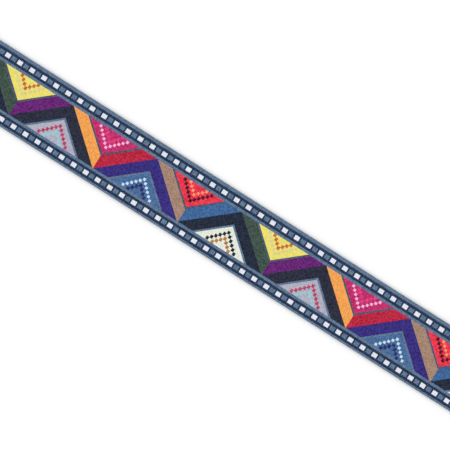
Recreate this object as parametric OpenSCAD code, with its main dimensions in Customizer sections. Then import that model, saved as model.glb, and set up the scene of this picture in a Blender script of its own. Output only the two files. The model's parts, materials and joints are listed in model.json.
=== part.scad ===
// Guitar strap: a patterned woven band sewn on backing webbing, a leather tab with a button hole at each end,
// and a plain webbing tail that runs round a wire ring and through a slider, which sets the length.
// Sizes are in millimetres. X runs along the strap from the head tab to the tail tab, Y across it and Z up.
// The strap lies straight and flat with its face up, at its shortest. The origin is under its middle.

/* [Strap] */
// Width of the woven band, its backing and the tail webbing
strap_w = 50; // [38:1:60]
// Thickness of the patterned woven band
band_t = 0.8; // [0.5:0.1:1.2]
// Thickness of the backing webbing under the band
backing_t = 1.4; // [1:0.1:2]
// Length of band that shows, from the head tab's edge to the ring
band_l = 560; // [440:10:700]

/* [Tail] */
// Thickness of the plain tail webbing
tail_t = 1.3; // [1:0.1:2]
// How far the strap lengthens, which is how far the slider travels
adjust_l = 300; // [150:10:400]
// Closest that the slider's middle comes to the ring
slider_stop = 70; // [65:1:90]
// Straight webbing left between the slider and the slope down to the tail tab
slider_land = 4; // [2:0.5:10]
// Length of the slope where the webbing steps from one level to another
ramp_l = 20; // [15:1:30]

/* [Leather tabs] */
// Thickness of one leather leaf; two leaves make a tab
leaf_t = 2; // [1.5:0.1:3]
// Leather left beyond each edge of the strap
tab_margin = 2; // [1:0.5:4]
// Radius of the rounded tip
tab_tip_r = 15; // [13:0.5:18]
// Radius of the tab's other corners
tab_corner_r = 3; // [2:0.5:5]
// Length of strap sewn between the two leaves
tab_overlap = 38; // [30:1:50]
// Length over which the front leaf steps down past the strap's end
tab_step_l = 10; // [8:0.5:15]
// Flat leather between the slit and that step
tab_land = 12; // [8:0.5:20]

/* [Button hole] */
// Diameter of the hole that takes the guitar's strap button
hole_d = 8; // [6:0.5:10]
// Distance from the tip to the middle of the hole
hole_inset = 18; // [15:0.5:24]
// Length of the slit from the middle of the hole
slit_l = 12; // [9:0.5:15]
// Width of the slit
slit_w = 1.2; // [0.8:0.1:1.6]
// Diameter of the round end of the slit
slit_end_d = 2.5; // [2:0.1:4]

/* [Ring] */
// Diameter of the ring's wire
ring_wire_d = 4.5; // [3.5:0.1:6]
// Distance between the ring's two bars, middle to middle
ring_pitch = 18; // [16:0.5:30]

/* [Slider] */
// Length of the slider's plate along the strap
slider_l = 30; // [26:1:40]
// Thickness of the slider's plate
plate_t = 2; // [1.5:0.1:3]
// Width of the bars and rails of the plate
rail_w = 5; // [4:0.5:8]
// Corner radius of the slider's plate
plate_corner_r = 3; // [1:0.5:4]
// Diameter of the dropped bar across the slider's middle
center_bar_d = 3; // [2.5:0.1:4]

/* [Sewing] */
// Length of one stitch
stitch_l = 3; // [2:0.1:4]
// Gap from one stitch to the next
stitch_gap = 1.5; // [0.8:0.1:2.5]
// Width of the thread
thread_w = 0.7; // [0.4:0.1:1]
// Height of the thread above what it lies on
thread_h = 0.3; // [0.2:0.1:0.5]
// Distance of a stitch line from the edge of the webbing
web_inset = 1.2; // [0.8:0.1:3]
// Distance of a stitch line from the edge of the leather
leather_inset = 3; // [2:0.5:5]
// Length of webbing sewn down behind a fold
sewn_l = 28; // [20:1:34]
// Length of the open eye from a bar to the sewn part
eye_l = 16; // [14:1:20]

/* [Clearances] */
// Clearance between a bar and the webbing folded round it
bar_clear = 0.2; // [0.1:0.05:0.4]
// Clearance between the webbing and what slides along it
slide_clear = 0.2; // [0.1:0.05:0.5]
// Room beside the webbing in the ring and in the slider
side_clear = 1; // [0.5:0.1:3]
// Gap between two plies of webbing that are sewn together
ply_gap = 0.1; // [0.05:0.05:0.2]
// Straight webbing left between a tab's edge and a slope, and behind a fold
lead_l = 6; // [4:0.5:8]

/* [Hidden] */
$fn = 48;
// Flat steps in which the webbing turns round a bar
fold_steps = 16;
// Spare depth of a cut past the faces it goes through
cut_spare = 1;

strap_t = band_t + backing_t;
stitch_pitch = stitch_l + stitch_gap;

// Tab, measured from its tip
tab_w = strap_w + 2 * tab_margin;
tab_flat_l = hole_inset + slit_l + tab_land;
tab_l = tab_flat_l + tab_step_l + tab_overlap;
shoulder_l = tab_overlap + tab_margin;

// Levels: the inner face of webbing that lies under a bar, the two bars, the upper run and the slider's plate
fold_z = max(strap_t, tail_t);
ply_z = fold_z + ply_gap;
ring_hold_r = ring_wire_d / 2 + bar_clear;
center_hold_r = center_bar_d / 2 + bar_clear;
ring_z = fold_z + ring_hold_r;
center_bar_z = fold_z + center_hold_r;
fold_top_z = ring_z + ring_hold_r;
run_z = max(fold_top_z, center_bar_z + center_hold_r + tail_t + slide_clear);
plate_z = run_z + tail_t + slide_clear;

// Places along the strap
tail_l = slider_stop + adjust_l + slider_l / 2 + slider_land + ramp_l + lead_l;
total_l = 2 * tab_l + band_l + ring_pitch + tail_l;
head_x = -total_l / 2;
head_edge_x = head_x + tab_l;
ring_x = head_edge_x + band_l;
far_bar_x = ring_x + ring_pitch;
slider_x = far_bar_x + slider_stop + adjust_l;
tail_edge_x = far_bar_x + tail_l;
tail_x = tail_edge_x + tab_l;
flap_x = ring_x - eye_l - sewn_l;
slider_flap_x = slider_x - eye_l - sewn_l;
lower_run_end_x = slider_flap_x - lead_l;
fold_end_x = far_bar_x + lead_l;
band_flat_x = head_edge_x + lead_l + ramp_l;
band_lift_x = flap_x - ramp_l;
ring_loop_x = band_lift_x - lead_l;

// Places across the strap
ring_bend_r = side_clear + ring_wire_d / 2;
ring_side_y = strap_w / 2 + ring_bend_r;
rail_y = strap_w / 2 + side_clear + rail_w / 2;

leather = "#241f1d";
band_tone = "#7a4a6a";
navy_web = "#2b3a55";
slate_thread = "#627491";
nickel = "#b9bcc0";

// Unit normal to the left of the way from a to b
function left_normal(a, b) = [a[1] - b[1], b[0] - a[0]] / norm(b - a);

// Mitre at point i of a path, one unit thick measured square to the path
function mitre(path, i) =
    let (
        last = len(path) - 1,
        before = left_normal(path[max(i, 1) - 1], path[max(i, 1)]),
        after = left_normal(path[min(i, last - 1)], path[min(i, last - 1) + 1]),
        both = before + after
    )
    both * 2 / (both * both);

// The path moved to its left by d
function beside(path, d) = [for (i = [0 : len(path) - 1]) path[i] + d * mitre(path, i)];

function backwards(list) = [for (i = [len(list) - 1 : -1 : 0]) list[i]];

// Points on an arc about c, from angle a to angle b
function arc(c, r, a, b) = [for (i = [0 : fold_steps])
    let (t = a + (b - a) * i / fold_steps) c + r * [cos(t), sin(t)]];

// Angle round a bar at which webbing rising from the sewn part touches its circle of radius r
function touch_angle(r) = 360 + atan2(ply_gap - r, -eye_l) - acos(r / norm([eye_l, r - ply_gap]));

// Inner face of webbing that comes in from the left, turns round a bar at x, z and is sewn back under itself
function sewn_loop(x, z, r, top_x, under_x) = concat(
    [[top_x, ply_z], [x - eye_l, ply_z]],
    arc([x, z], r, touch_angle(r), -90),
    [[under_x, fold_z]]
);

// Underside of the main strap's straight run, from inside the head tab and along the ground
strap_path = [
    [head_edge_x - tab_overlap, leaf_t],
    [head_edge_x + lead_l, leaf_t],
    [band_flat_x, 0],
    [ring_loop_x, 0]
];

// Underside of the main strap's loop, which carries straight on from that run, round the ring and back
ring_loop_path = concat(
    [[ring_loop_x, 0], [band_lift_x, 0]],
    sewn_loop(ring_x, ring_z, ring_hold_r, flap_x, flap_x)
);

// Inner face of the tail webbing round the ring's far bar
ring_fold_path = concat(
    [[fold_end_x, fold_z]],
    arc([far_bar_x, ring_z], ring_hold_r, -90, -270),
    [[fold_end_x, fold_top_z]]
);

// Underside of the tail webbing from the ring, through the slider and into the tail tab
upper_run_path = [
    [fold_end_x, fold_top_z],
    [fold_end_x + ramp_l, run_z],
    [tail_edge_x - lead_l - ramp_l, run_z],
    [tail_edge_x - lead_l, leaf_t],
    [tail_edge_x + tab_overlap, leaf_t]
];

// Layer of a strip between two distances from a path in the XZ plane, w wide across the strap
module strip(path, from, to, w) {
    rotate([90, 0, 0])
        linear_extrude(w, center = true)
            polygon(concat(beside(path, from), backwards(beside(path, to))));
}

// Row of stitches on the level z from a to b
module stitch_line(a, b, z) {
    run = norm(b - a);
    count = floor((run + stitch_gap) / stitch_pitch);
    spare = run + stitch_gap - count * stitch_pitch;
    translate([a[0], a[1], z])
        rotate(atan2(b[1] - a[1], b[0] - a[0]))
            for (i = [0 : count - 1])
                translate([spare / 2 + i * stitch_pitch, -thread_w / 2, 0])
                    cube([stitch_l, thread_w, thread_h]);
}

// Stitches round an arc about [x, 0] on the level z
module stitch_arc(x, r, from, to, z) {
    count = floor(r * (to - from) * PI / 180 / stitch_pitch);
    translate([x, 0, z])
        for (i = [0 : count - 1])
            rotate(from + (to - from) * (i + 0.5) / count)
                translate([r - thread_w / 2, -stitch_l / 2, 0])
                    cube([thread_w, stitch_l, thread_h]);
}

// Four rows of stitches round a rectangle that is 2 * half_w wide
module stitch_box(x1, x2, half_w, z) {
    for (side = [-1, 1])
        stitch_line([x1, side * half_w], [x2, side * half_w], z);
    for (x = [x1, x2])
        stitch_line([x, -half_w + stitch_gap], [x, half_w - stitch_gap], z);
}

// Box of stitches with a cross in it, which holds a fold of webbing
module cross_box(x1, x2, z) {
    half_w = strap_w / 2 - leather_inset;
    inner = [thread_w + stitch_gap, thread_w + stitch_gap];
    low = [x1, -half_w] + inner;
    high = [x2, half_w] - inner;
    stitch_box(x1, x2, half_w, z);
    stitch_line(low, high, z);
    stitch_line([low[0], high[1]], [high[0], low[1]], z);
}

// Tab outline with its tip at the origin and the strap coming in at x = tab_l
module tab_outline() {
    corner_y = tab_w / 2 - tab_corner_r;
    hull() {
        translate([tab_tip_r, 0])
            circle(tab_tip_r);
        for (x = [tab_l - shoulder_l + tab_corner_r, tab_l - tab_corner_r], y = [-corner_y, corner_y])
            translate([x, y])
                circle(tab_corner_r);
    }
}

// Button hole with its slit towards the strap, cut through both leaves
module button_cut() {
    depth = 2 * (leaf_t + cut_spare);
    translate([hole_inset, 0, -cut_spare]) {
        cylinder(d = hole_d, h = depth);
        translate([0, -slit_w / 2, 0])
            cube([slit_l, slit_w, depth]);
        translate([slit_l, 0, 0])
            cylinder(d = slit_end_d, h = depth);
    }
}

// Front leaf: flat on the back leaf at the tip, then up over the end of a strap that is core_t thick
module front_leaf(core_t) {
    underside = [
        [-cut_spare, leaf_t],
        [tab_flat_l, leaf_t],
        [tab_flat_l + tab_step_l, leaf_t + core_t],
        [tab_l + cut_spare, leaf_t + core_t]
    ];
    difference() {
        intersection() {
            linear_extrude(2 * leaf_t + core_t)
                tab_outline();
            strip(underside, 0, leaf_t, tab_w + 2 * cut_spare);
        }
        button_cut();
    }
}

module back_leaf() {
    difference() {
        linear_extrude(leaf_t)
            tab_outline();
        button_cut();
    }
}

// Seam on the front leaf round the end of the strap
module tab_box_seam(core_t) {
    stitch_box(tab_l - tab_overlap + leather_inset, tab_l - leather_inset, strap_w / 2 - leather_inset,
        2 * leaf_t + core_t);
}

// Seam round the tip, inside the edge by leather_inset, where the two leaves meet
module tab_tip_seam() {
    tip = [tab_tip_r, 0];
    corner = [tab_l - shoulder_l + tab_corner_r, tab_w / 2 - tab_corner_r] - tip;
    turn = atan2(corner[1], corner[0]) + acos((tab_tip_r - tab_corner_r) / norm(corner));
    seam_r = tab_tip_r - leather_inset;
    start = tip + seam_r * [cos(turn), sin(turn)];
    way = [sin(turn), -cos(turn)];
    end = start + way * (tab_flat_l - leather_inset - start[0]) / way[0];
    for (side = [0, 1])
        mirror([0, side, 0])
            stitch_line(start, end, 2 * leaf_t);
    stitch_arc(tab_tip_r, seam_r, turn, 360 - turn, 2 * leaf_t);
}

module at_head() {
    translate([head_x, 0, 0])
        children();
}

module at_tail() {
    translate([tail_x, 0, 0])
        mirror([1, 0, 0])
            children();
}

// Stitches along one edge of the band, on the flat stretch between the head tab and the loop round the ring
module edge_stitches(side) {
    y = side * (strap_w / 2 - web_inset);
    stitch_line([band_flat_x + stitch_pitch, y], [ring_loop_x - stitch_pitch, y], strap_t);
}

module head_tab_front_leaf() {
    color(leather)
        at_head()
            front_leaf(strap_t);
}

module head_tab_back_leaf() {
    color(leather)
        at_head()
            back_leaf();
}

module head_tab_box_seam() {
    color(slate_thread)
        at_head()
            tab_box_seam(strap_t);
}

module head_tab_tip_seam() {
    color(slate_thread)
        at_head()
            tab_tip_seam();
}

module woven_band() {
    color(band_tone)
        strip(strap_path, backing_t, strap_t, strap_w);
}

module woven_band_ring_loop() {
    color(band_tone)
        strip(ring_loop_path, backing_t, strap_t, strap_w);
}

module backing_webbing() {
    color(navy_web)
        strip(strap_path, 0, backing_t, strap_w);
}

module backing_ring_loop() {
    color(navy_web)
        strip(ring_loop_path, 0, backing_t, strap_w);
}

module band_edge_stitches_left() {
    color(slate_thread)
        edge_stitches(1);
}

module band_edge_stitches_right() {
    color(slate_thread)
        edge_stitches(-1);
}

module ring_loop_stitches() {
    color(slate_thread)
        cross_box(flap_x + leather_inset, ring_x - eye_l - leather_inset, ply_z + strap_t);
}

// Rectangular ring of round wire, with its two bars across the strap
module ring() {
    color(nickel)
        translate([ring_x, 0, ring_z]) {
            for (x = [0, ring_pitch])
                translate([x, 0, 0])
                    rotate([90, 0, 0])
                        cylinder(d = ring_wire_d, h = strap_w, center = true);
            for (side = [-1, 1])
                translate([ring_bend_r, side * ring_side_y, 0])
                    rotate([0, 90, 0])
                        cylinder(d = ring_wire_d, h = ring_pitch - 2 * ring_bend_r);
            for (end = [0, 1], side = [0, 1])
                translate([end * ring_pitch, 0, 0])
                    mirror([end, 0, 0])
                        mirror([0, side, 0])
                            translate([ring_bend_r, strap_w / 2, 0])
                                rotate([0, 0, 90])
                                    rotate_extrude(angle = 90)
                                        translate([ring_bend_r, 0])
                                            circle(d = ring_wire_d);
        }
}

module tail_web_ring_fold() {
    color(navy_web)
        strip(ring_fold_path, 0, tail_t, strap_w);
}

module tail_web_lower_run() {
    color(navy_web)
        translate([fold_end_x, -strap_w / 2, fold_z - tail_t])
            cube([lower_run_end_x - fold_end_x, strap_w, tail_t]);
}

module tail_web_slider_loop() {
    color(navy_web)
        strip(sewn_loop(slider_x, center_bar_z, center_hold_r, slider_flap_x, lower_run_end_x), 0, tail_t, strap_w);
}

module slider_loop_stitches() {
    color(slate_thread)
        cross_box(slider_flap_x + leather_inset, slider_x - eye_l - leather_inset, ply_z + tail_t);
}

// Flat frame of the slider: a bar across each end and a rail along each side
module slider_plate() {
    window = [slider_l - 2 * rail_w, 2 * rail_y - rail_w];
    corner = [slider_l / 2, rail_y + rail_w / 2] - [plate_corner_r, plate_corner_r];
    color(nickel)
        translate([slider_x, 0, plate_z])
            linear_extrude(plate_t)
                difference() {
                    hull()
                        for (x = [-corner[0], corner[0]], y = [-corner[1], corner[1]])
                            translate([x, y])
                                circle(plate_corner_r);
                    square(window, center = true);
                }
}

// Dropped bar that the tail is sewn round, with a post at each end up to the underside of the rails
module slider_center_bar() {
    color(nickel)
        translate([slider_x, 0, center_bar_z]) {
            rotate([90, 0, 0])
                cylinder(d = center_bar_d, h = 2 * rail_y, center = true);
            for (y = [-rail_y, rail_y])
                translate([0, y, 0]) {
                    sphere(d = center_bar_d);
                    cylinder(d = center_bar_d, h = plate_z - center_bar_z);
                }
        }
}

module tail_web_upper_run() {
    color(navy_web)
        strip(upper_run_path, 0, tail_t, strap_w);
}

module tail_tab_front_leaf() {
    color(leather)
        at_tail()
            front_leaf(tail_t);
}

module tail_tab_back_leaf() {
    color(leather)
        at_tail()
            back_leaf();
}

module tail_tab_box_seam() {
    color(slate_thread)
        at_tail()
            tab_box_seam(tail_t);
}

module tail_tab_tip_seam() {
    color(slate_thread)
        at_tail()
            tab_tip_seam();
}

head_tab_front_leaf();
head_tab_back_leaf();
head_tab_box_seam();
head_tab_tip_seam();
woven_band();
woven_band_ring_loop();
backing_webbing();
backing_ring_loop();
band_edge_stitches_left();
band_edge_stitches_right();
ring_loop_stitches();
ring();
tail_web_ring_fold();
tail_web_lower_run();
tail_web_slider_loop();
slider_loop_stitches();
slider_plate();
slider_center_bar();
tail_web_upper_run();
tail_tab_front_leaf();
tail_tab_back_leaf();
tail_tab_box_seam();
tail_tab_tip_seam();
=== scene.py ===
"""Guitar strap: a patterned woven band on backing webbing, leather button tabs, a wire ring and a slider.

Lengths are in metres. X runs along the strap from the head tab to the tail tab, Y across it and Z up out of
its face. Every piece is a surface worked out on a grid and stands where its solid stands in the frame.
"""

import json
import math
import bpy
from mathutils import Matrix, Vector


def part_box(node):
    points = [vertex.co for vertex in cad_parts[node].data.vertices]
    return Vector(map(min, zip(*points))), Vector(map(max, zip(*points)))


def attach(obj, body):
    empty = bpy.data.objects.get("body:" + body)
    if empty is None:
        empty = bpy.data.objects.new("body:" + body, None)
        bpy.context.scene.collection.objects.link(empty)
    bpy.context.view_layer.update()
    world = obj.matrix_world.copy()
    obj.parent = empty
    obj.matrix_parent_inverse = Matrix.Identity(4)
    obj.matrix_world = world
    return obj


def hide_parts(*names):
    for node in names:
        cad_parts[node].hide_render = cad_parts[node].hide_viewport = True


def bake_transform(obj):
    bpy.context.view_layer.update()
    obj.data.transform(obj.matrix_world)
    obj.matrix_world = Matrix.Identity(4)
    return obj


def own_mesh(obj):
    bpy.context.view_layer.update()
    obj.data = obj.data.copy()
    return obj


bl_info = {
    "name": "Woven Guitar Strap",
    "version": (1, 0, 0),
    "blender": (4, 5, 0),
    "location": "View3D > Sidebar > Strap",
    "description": "Builds the surfaces and finishes of a woven guitar strap",
    "category": "Add Mesh",
}

from functools import partial

import bpy
import numpy as np

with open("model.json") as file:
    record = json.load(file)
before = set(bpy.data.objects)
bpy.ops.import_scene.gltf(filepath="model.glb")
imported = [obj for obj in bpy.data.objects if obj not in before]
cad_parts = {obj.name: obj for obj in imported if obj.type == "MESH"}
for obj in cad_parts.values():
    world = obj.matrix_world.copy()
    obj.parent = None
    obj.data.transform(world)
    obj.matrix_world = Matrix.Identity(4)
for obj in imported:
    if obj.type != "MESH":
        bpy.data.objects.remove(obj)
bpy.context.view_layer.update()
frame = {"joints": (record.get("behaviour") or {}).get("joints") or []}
MM = 0.001

# Sizes and places taken from the frame
JOINTS = {joint["name"]: joint for joint in frame["joints"]}
RING_X, _, BAR_Z = JOINTS["ring_swing"]["pos_m"]
FAR_BAR_X = JOINTS["tail_swing"]["pos_m"][0]
HEAD_LOW, HEAD_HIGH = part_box("head_tab_back_leaf")
TAIL_LOW, TAIL_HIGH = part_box("tail_tab_back_leaf")
BAND_LOW, BAND_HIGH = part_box("woven_band")
RING_LOW, RING_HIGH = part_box("ring")
LOWER_LOW, LOWER_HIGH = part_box("tail_web_lower_run")
PLATE_LOW, PLATE_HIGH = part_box("slider_plate")
BAR_LOW, BAR_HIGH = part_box("slider_center_bar")
LEAF_T = HEAD_HIGH.z
TAB_L = HEAD_HIGH.x - HEAD_LOW.x
TAB_W = HEAD_HIGH.y - HEAD_LOW.y
STRAP_W = BAND_HIGH.y - BAND_LOW.y
STRAP_T = BAND_HIGH.z - LEAF_T
BACKING_T = BAND_LOW.z
TAIL_T = LOWER_HIGH.z - LOWER_LOW.z
FOLD_Z = LOWER_HIGH.z
RUN_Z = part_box("tail_web_upper_run")[1].z - TAIL_T
RING_HOLD_R = BAR_Z - FOLD_Z
WIRE_R = (RING_HIGH.z - RING_LOW.z) / 2
SLIDER_X = (PLATE_LOW.x + PLATE_HIGH.x) / 2
CENTER_R = (BAR_HIGH.x - BAR_LOW.x) / 2
CENTER_Z = BAR_LOW.z + CENTER_R
CENTER_HOLD_R = CENTER_Z - FOLD_Z

# UV maps: places along and across a strip in metres, and a strip cut into rows that fill a square image
WEAVE_MAP = "weave"
ROWS_MAP = "OFBake"
# Rows that the band's image is cut into, the face's share of a row, the margin on each side of a row as a
# share of it, and how far a cut end's outline reaches from the middle of such a margin, as a share of that
IMAGE_ROWS = 4
IMAGE_FACE = 0.88
IMAGE_MARGIN = 0.01
END_SPOT = 0.4

# White blocks that stand along one repeat of the zigzag
BLOCKS_PER_REPEAT = 7
# One tick of the weave along and across, about twice a real thread so that it shows in the picture
TICK_L = 0.8 * MM
TICK_W = 0.7 * MM
# From one twill line to the next, drawn coarse enough to show
TWILL_L = 1.5 * MM
# Tone of the ticks: its mean, how far it swings on black yarn and on pale yarn, the lightness that counts as
# pale, how far the twill changes it, and the most weft that shows
MEAN_TONE = 1.01
DARK_SWING = 0.8
PALE_SWING = 0.26
PALE_LIGHT = 0.6
TWILL_TONE = 0.07
WEFT_SHOWN = 0.1
# Relief of the band: half a dot's pillow in dot pitches, the length over which a pillow rises, a groove's
# depth as a share of a pillow's height, and the length over which all of it fades at the tab and where the
# band turns back under the ring
DOT_PILLOW = 0.58
PILLOW_EDGE = 1 * MM
GROOVE_SHARE = 0.6
RELIEF_FADE = 3 * MM

# A stitch: the share of its length that its rings take up, the thread's middle and its drop towards the ends
# in thread heights, and how much of the square of its thickness it loses there
STITCH_REACH = 0.94
STITCH_ARCH = 0.3
STITCH_DROP = 1.1
STITCH_THINNING = 0.55

# Grid of the band: a third of the dots' pitch both ways on its face, and coarse underneath, out of sight
BAND_STEPS_PER_DOT = 3
BAND_UNDER_STEPS = 9
# Grids of the webbing and of a leaf of leather, fine enough across for their grooves
WEBBING_STEP = 5 * MM
WEBBING_FACE_STEPS = 80
LEAF_STEPS = 80
# Points round a leaf's outline and as many round its hole, and those on the arcs that these are drawn from
LEAF_POINTS = 300
CORNER_POINTS = 9
SHOULDER_POINTS = 5
TIP_POINTS = 41
SLIT_END_POINTS = 12
HOLE_POINTS = 64
# Points round the ring, and on the bend of webbing round a bar
RING_POINTS = 240
BEND_POINTS = 40
# Spread of the weld's bead in wire radii
WELD_SPREAD = 0.5
# Points on a side and on a corner of the slider's plate, across its face and on a bend of its bar, and the
# length of a step along the bar
PLATE_SIDE = 31
PLATE_CORNER = 9
PLATE_STEPS = 8
BAR_BEND = 13
BAR_STEP = 2 * MM
# Digits that lengths along a path are rounded to, and the slack that lets in a stitch that just fits its row
LENGTH_DIGITS = 6
SLACK = 1e-6

# Grain of the finishes: fibre of webbing, twist of thread, pebbles, worn patches, scuffs and rubbed edge of
# leather, clouds and scratches of nickel. Fibre and scratches are drawn coarser than real ones, to show
FIBRE = 0.9 * MM
TWIST = 0.5 * MM
PEBBLE = 1.4 * MM
PATCH = 14 * MM
SCUFF = 4 * MM
RUBBED = 1.2 * MM
CLOUD = 6 * MM
SCRATCH = 0.4 * MM

# Camera: width of its film in millimetres, and how far it sees in metres
FILM_W = 36
FAR_CLIP = 20
WHITE = (1, 1, 1, 1)


def linear(hex_value):
    """Linear RGBA of an sRGB hex colour."""
    share = np.array([int(hex_value[i:i + 2], 16) / 255 for i in (1, 3, 5)])
    light = np.where(share <= 0.04045, share / 12.92, ((share + 0.055) / 1.055) ** 2.4)
    return (*light.tolist(), 1.0)


def number(name, description, value, **options):
    """Number property, with its unit or subtype among the options."""
    return bpy.props.FloatProperty(name=name, description=description, default=value, **options)


def length(name, description, millimetres):
    """Length property whose default is given in millimetres."""
    return number(name, description, millimetres * MM, precision=5, unit="LENGTH")


def angle(name, description, degrees):
    """Angle property whose default is given in degrees."""
    return number(name, description, math.radians(degrees), subtype="ANGLE")


def colour(name, description, hex_value):
    """Colour property whose default is given as an sRGB hex value."""
    return bpy.props.FloatVectorProperty(
        name=name, description=description, default=linear(hex_value), size=4, min=0, max=1, subtype="COLOR")


class StrapSewing(bpy.types.PropertyGroup):
    """Folds, seams and thread"""
    ramp_l: length("Slope", "Length of the slope where webbing steps to another level", 20)
    lead_l: length("Lead", "Straight webbing beside a tab's edge and behind a fold", 6)
    eye_l: length("Eye", "Open eye from a bar to the sewn part", 16)
    sewn_l: length("Sewn part", "Webbing sewn down behind a fold", 28)
    ply_gap: length("Ply gap", "Gap between two sewn plies", 0.1)
    stitch_l: length("Stitch", "Length of one stitch", 3)
    stitch_gap: length("Stitch gap", "Gap from one stitch to the next", 1.5)
    thread_w: length("Thread width", "Width of the thread", 0.7)
    thread_h: length("Thread height", "Height of the thread above what it lies on", 0.3)
    sunk: length("Sunk", "How deep the thread lies in the underside of the webbing", 0.2)
    web_inset: length("Webbing inset", "Stitch line to the edge of the webbing", 1.2)
    leather_inset: length("Leather inset", "Stitch line to the edge of the leather", 3)
    thread: colour("Thread", "Bonded thread of every seam", "#67788f")


class StrapTab(bpy.types.PropertyGroup):
    """Leather tab, measured from its tip"""
    tip_r: length("Tip radius", "Radius of the rounded tip", 15)
    corner_r: length("Corner radius", "Radius of the other corners", 3)
    overlap: length("Overlap", "Strap sewn between the two leaves", 38)
    step_l: length("Step", "Length over which the front leaf steps down past the strap's end", 10)
    hole_d: length("Hole", "Diameter of the button hole", 8)
    hole_inset: length("Hole inset", "Tip to the middle of the hole", 18)
    slit_l: length("Slit", "Slit from the middle of the hole to the middle of its round end", 12)
    slit_w: length("Slit width", "Width of the slit", 1.2)
    slit_end_d: length("Slit end", "Diameter of the slit's round end", 2.5)
    edge_r: length("Edge", "Radius of the burnished edges", 0.6)
    seam_depth: length("Seam depth", "How far a seam draws the leather in", 0.3)
    leather: colour("Leather", "Grained leather of both tabs", "#1f1a18")
    rubbed: colour("Rubbed edge", "Where the dye is rubbed off the edges", "#5a4a3f")


class StrapPattern(bpy.types.PropertyGroup):
    """Woven pattern: zigzag legs and triangles between two rows of blocks"""
    repeat: length("Repeat", "One V of the zigzag along the band", 68.1)
    start: length("Start", "From the head tab's edge to the start of a repeat of three", 284.6)
    shift: length("Shift", "How far the pattern sits towards the right edge", 0.5)
    zone_w: length("Zigzag width", "Height of a V from its point to the ends of its legs", 29.4)
    upper_leg: length("V leg", "Height of the coloured legs of a V", 11)
    lower_leg: length("Peak leg", "Height of the dark legs of a peak", 11)
    line_w: length("Outline", "Width of the line round a triangle, measured across the band", 1.7)
    dot_pitch: length("Dot pitch", "From dot to dot, along and across", 2.13)
    dot_w: length("Dot size", "Side of a square dot", 2.42)
    pale_w: length("Pale dot", "Side of a dot that is paler than its ground", 1.85)
    outer_apex: length("Outer chevron", "Height of the outer chevron's first dot", 16.9)
    inner_apex: length("Inner chevron", "Height of the inner chevron's first dot", 21.7)
    outer_dots: bpy.props.IntProperty(
        name="Outer dots", description="Dots in a leg, the first included", default=6)
    inner_dots: bpy.props.IntProperty(
        name="Inner dots", description="Dots in a leg, the first included", default=4)
    line_in: length("Border line from", "Middle of the band to the inside of the slate line", 14.35)
    line_out: length("Border line to", "Middle of the band to the outside of the slate line", 16.05)
    block_in: length("Blocks from", "Middle of the band to the near side of the blocks", 18.06)
    block_out: length("Blocks to", "Middle of the band to the far side of the blocks", 21.13)
    edge_in: length("Selvedge from", "Middle of the band to the slate selvedge", 22.95)
    block_start: length("First block", "From the head tab's edge to the middle of a white block", 277.2)
    white_l: length("White block", "Length of a white block", 3.65)
    slate_l: length("Slate block", "Length of a slate block", 3.6)
    relief: length("Relief", "How far dots and blocks stand out", 0.15)
    navy: colour("Navy", "Ground of the border", "#1c2f4c")
    slate: colour("Slate", "Selvedge and border lines", "#5f758f")
    outline: colour("Outline", "Line round an upper triangle", "#4c566e")
    white: colour("White", "White blocks", "#e8ebf5")
    green: colour("Green", "Left leg of the first V", "#3d4f42")
    purple: colour("Purple", "Right leg of the first V", "#661671")
    orange: colour("Orange", "Left leg of the second V", "#f6a44e")
    crimson: colour("Crimson", "Right leg of the second V", "#bd1b38")
    taupe: colour("Taupe", "Left leg of the third V", "#a68570")
    blue: colour("Blue", "Right leg of the third V", "#3c6598")
    charcoal: colour("Charcoal", "First peak", "#242434")
    indigo: colour("Indigo", "Second peak", "#34257a")
    black: colour("Black", "Third peak", "#1a2032")
    yellow: colour("Yellow", "First upper triangle", "#f2e36c")
    magenta: colour("Magenta", "Second upper triangle", "#c42667")
    scarlet: colour("Scarlet", "Third upper triangle", "#ef3247")
    pale_blue: colour("Pale blue", "First lower triangle", "#b4b2c4")
    steel: colour("Steel blue", "Second lower triangle", "#476b9a")
    ivory: colour("Ivory", "Third lower triangle", "#eaeee0")
    peach: colour("Peach", "Faint dots on yellow", "#dfd891")
    brick: colour("Brick", "Inner dots on yellow", "#c96a40")
    blush: colour("Blush", "Outer dots on magenta", "#fdb9e4")
    rose: colour("Rose", "Faint dots on magenta", "#e33880")
    maroon: colour("Maroon", "Outer dots on scarlet", "#4c000c")
    amber: colour("Amber", "Inner dots on scarlet", "#ff9a6e")
    cherry: colour("Cherry", "Outer dots on pale blue", "#bc4062")
    aqua: colour("Aqua", "Inner dots on pale blue", "#9accd6")
    frost: colour("Frost", "Outer dots on steel blue", "#c9e3f9")
    plum: colour("Plum", "Inner dots on steel blue", "#282662")
    ink: colour("Ink", "Outer dots on ivory", "#191a1e")
    copper: colour("Copper", "Inner dots on ivory", "#b97a3a")


class StrapMetal(bpy.types.PropertyGroup):
    """Ring and slider"""
    rail_w: length("Rail", "Width of the slider's bars and rails", 5)
    plate_r: length("Plate corner", "Corner radius of the slider's plate", 3)
    window_r: length("Window corner", "Corner radius of the slider's window", 1)
    plate_edge: length("Plate edge", "Radius of the plate's tumbled edges", 0.5)
    bend_r: length("Bar bend", "Bend radius of the slider's dropped bar", 2.4)
    weld_h: length("Weld", "Height of the bead where the ring's wire is joined", 0.25)
    nickel: colour("Nickel", "Plating of ring and slider", "#96928b")


class StrapWebbing(bpy.types.PropertyGroup):
    """Plain webbing of the tail and the backing"""
    column_w: length("Column", "Width of one herringbone column", 5)
    groove: length("Groove", "Depth of the groove between columns", 0.12)
    twill_l: length("Twill", "From one twill line to the next, drawn coarse enough to show", 1.6)
    navy: colour("Navy", "Polypropylene yarn", "#243350")


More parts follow.
